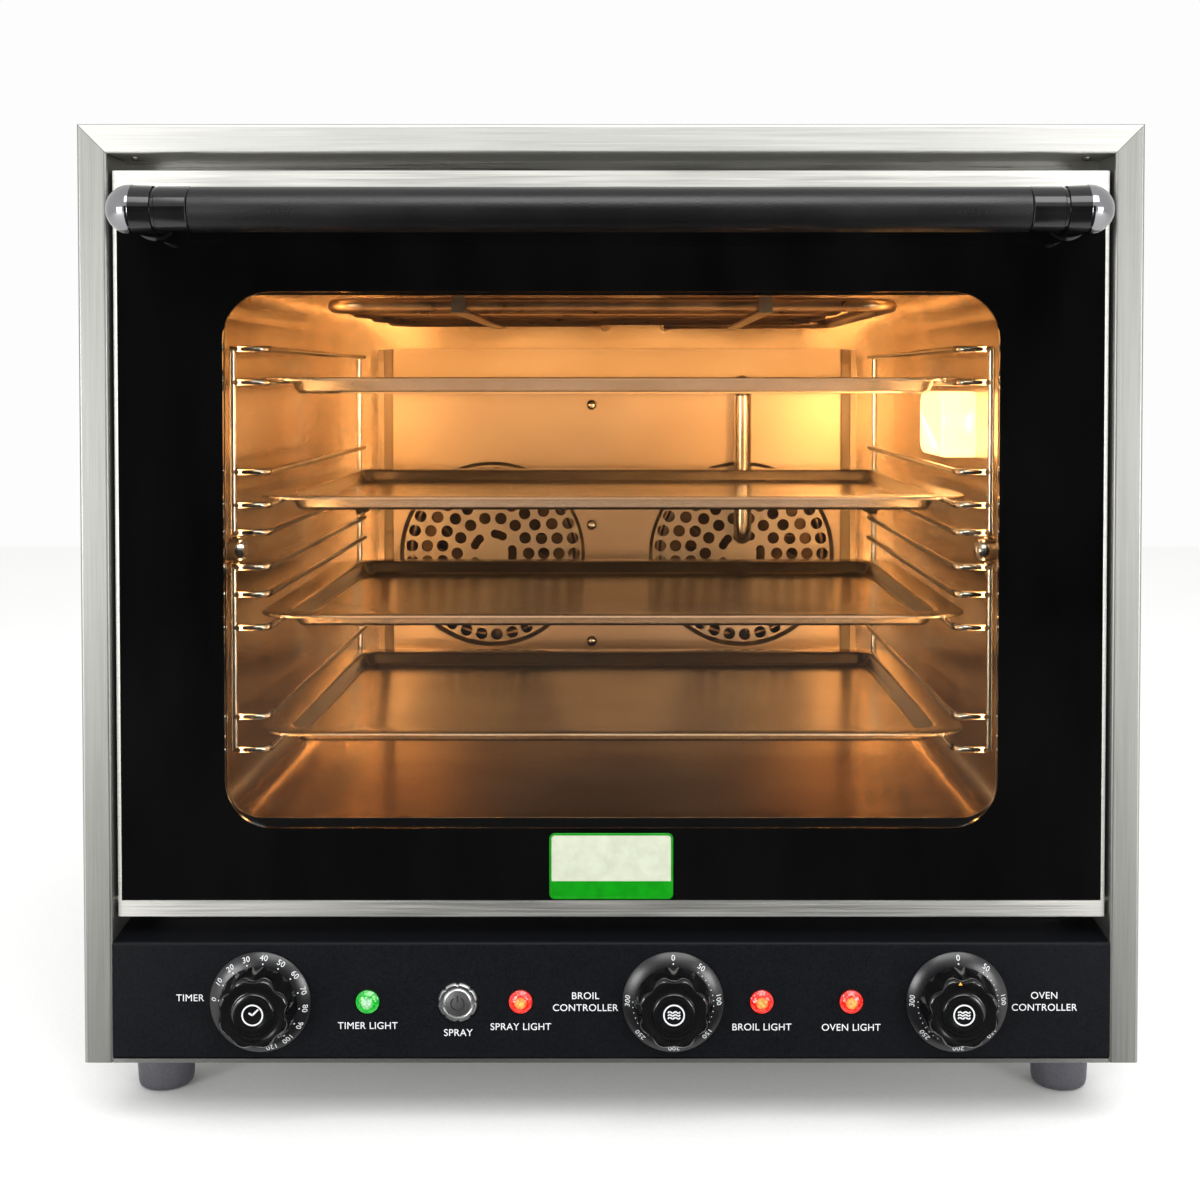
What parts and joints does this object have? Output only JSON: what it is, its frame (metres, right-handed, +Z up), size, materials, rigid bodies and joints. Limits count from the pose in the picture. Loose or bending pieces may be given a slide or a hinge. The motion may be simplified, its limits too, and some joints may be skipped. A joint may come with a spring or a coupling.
{
  "type": "counter-top convection oven",
  "caption": "Box-shaped electric tray oven with a drop-down glass door, bar handle, wire tray racks, fans behind a baffle, a grill element and a knob panel below the door.",
  "frame": {"origin": "middle of the footprint, on the surface that the feet stand on", "axes": "+Z up, the door faces -Y, +X to the right of a person facing the oven"},
  "size_m": [0.595, 0.6049, 0.57],
  "materials": {
    "brushed_stainless": "brushed stainless sheet",
    "galvanised_sheet": "galvanised sheet",
    "polished_stainless": "polished stainless",
    "fan_steel": "satin stainless",
    "chrome_wire": "bright chrome wire",
    "tray_steel": "satin aluminised sheet",
    "element_steel": "heat-darkened sheath",
    "steam_steel": "satin stainless tube",
    "mineral_wool": "mineral wool",
    "grey_silicone": "silicone seal",
    "grey_rubber": "satin rubber",
    "black_glass": "black-bordered tempered glass",
    "clear_glass": "clear tempered glass",
    "black_handle": "fine black texture",
    "dark_chrome": "glossy dark metal",
    "enamel_plate": "cream enamel",
    "black_panel": "satin black coat",
    "black_knob": "gloss black",
    "green_lens": "clear green",
    "red_lens": "clear red",
    "button_steel": "satin stainless",
    "zinc_steel": "zinc-plated steel",
    "black_phenolic": "moulded",
    "brass": "cast brass"
  },
  "bodies": {
    "oven": {"back_cover": "galvanised_sheet", "base_plate": "brushed_stainless", "broil_element": "element_steel", "broil_straps": "polished_stainless", "button_collar": "button_steel", "cable_gland": "black_phenolic", "control_panel": "black_panel", "dial_rings": "black_knob", "door_gasket": "grey_silicone", "face_frame": "brushed_stainless", "fan_baffle": "polished_stainless", "fan_guard_left": "fan_steel", "fan_guard_right": "fan_steel", "fan_motors": "zinc_steel", "feet": "grey_rubber", "front_bezel": "brushed_stainless", "hinge_pins": "chrome_wire", "insulation_blanket": "mineral_wool", "lamp_bulb": "clear_glass", "lamp_cover": "clear_glass", "lamp_holder": "galvanised_sheet", "outer_casing": "brushed_stainless", "oven_liner": "polished_stainless", "rack_left": "chrome_wire", "rack_right": "chrome_wire", "rack_studs": "chrome_wire", "red_lights": "red_lens", "ring_elements": "element_steel", "screws": "chrome_wire", "spray_switch": "black_phenolic", "steam_pipe": "steam_steel", "terminal_block": "black_phenolic", "thermostats": "black_phenolic", "timer_light": "green_lens", "timer_unit": "black_phenolic", "water_valve": "brass"},
    "door": {"door_frame": "brushed_stainless", "door_outer_glass": "black_glass", "door_inner_glass": "clear_glass", "door_rails": "brushed_stainless", "hinge_arms": "zinc_steel", "handle_tube": "black_handle", "handle_ends": "dark_chrome", "door_badge": "enamel_plate"},
    "timer_control": {"timer_knob": "black_knob", "timer_spindle": "zinc_steel"},
    "broil_control": {"broil_knob": "black_knob", "broil_spindle": "zinc_steel"},
    "oven_control": {"oven_knob": "black_knob", "oven_spindle": "zinc_steel"},
    "spray_button": {"button_cap": "button_steel"},
    "left_fan": {"fan_wheel_left": "fan_steel", "fan_shaft_left": "fan_steel"},
    "right_fan": {"fan_wheel_right": "fan_steel", "fan_shaft_right": "fan_steel"},
    "tray_slide_1": {"tray_1": "tray_steel"},
    "tray_slide_2": {"tray_2": "tray_steel"},
    "tray_slide_3": {"tray_3": "tray_steel"},
    "tray_slide_4": {"tray_4": "tray_steel"}
  },
  "joints": [
    {"name": "door_hinge", "type": "hinge", "parent": "oven", "child": "door", "pos_m": [0, -0.2315, 0.1292], "axis": [1, 0, 0], "range_deg": [0, 90], "stiffness_Nm_per_rad": 5, "springref_deg": -28.65},
    {"name": "timer_turn", "type": "hinge", "parent": "oven", "child": "timer_control", "pos_m": [-0.1978, -0.2475, 0.077], "axis": [0, 1, 0], "range_deg": [0, 300]},
    {"name": "broil_turn", "type": "hinge", "parent": "oven", "child": "broil_control", "pos_m": [0.0349, -0.2475, 0.077], "axis": [0, 1, 0], "range_deg": [0, 270]},
    {"name": "oven_turn", "type": "hinge", "parent": "oven", "child": "oven_control", "pos_m": [0.195, -0.2475, 0.077], "axis": [0, 1, 0], "range_deg": [0, 270]},
    {"name": "spray_press", "type": "slide", "parent": "oven", "child": "spray_button", "axis": [0, 1, 0], "range_m": [0, 0.0025], "stiffness_N_per_m": 400, "springref_m": -0.004},
    {"name": "left_fan_spin", "type": "hinge", "parent": "oven", "child": "left_fan", "pos_m": [-0.101, 0, 0.2863], "axis": [0, 1, 0], "continuous": true},
    {"name": "right_fan_spin", "type": "hinge", "parent": "oven", "child": "right_fan", "pos_m": [0.101, 0, 0.2863], "axis": [0, 1, 0], "continuous": true},
    {"name": "tray_1_slide", "type": "slide", "parent": "oven", "child": "tray_slide_1", "axis": [0, -1, 0], "range_m": [0, 0.04]},
    {"name": "tray_2_slide", "type": "slide", "parent": "oven", "child": "tray_slide_2", "axis": [0, -1, 0], "range_m": [0, 0.04]},
    {"name": "tray_3_slide", "type": "slide", "parent": "oven", "child": "tray_slide_3", "axis": [0, -1, 0], "range_m": [0, 0.04]},
    {"name": "tray_4_slide", "type": "slide", "parent": "oven", "child": "tray_slide_4", "axis": [0, -1, 0], "range_m": [0, 0.04]}
  ]
}
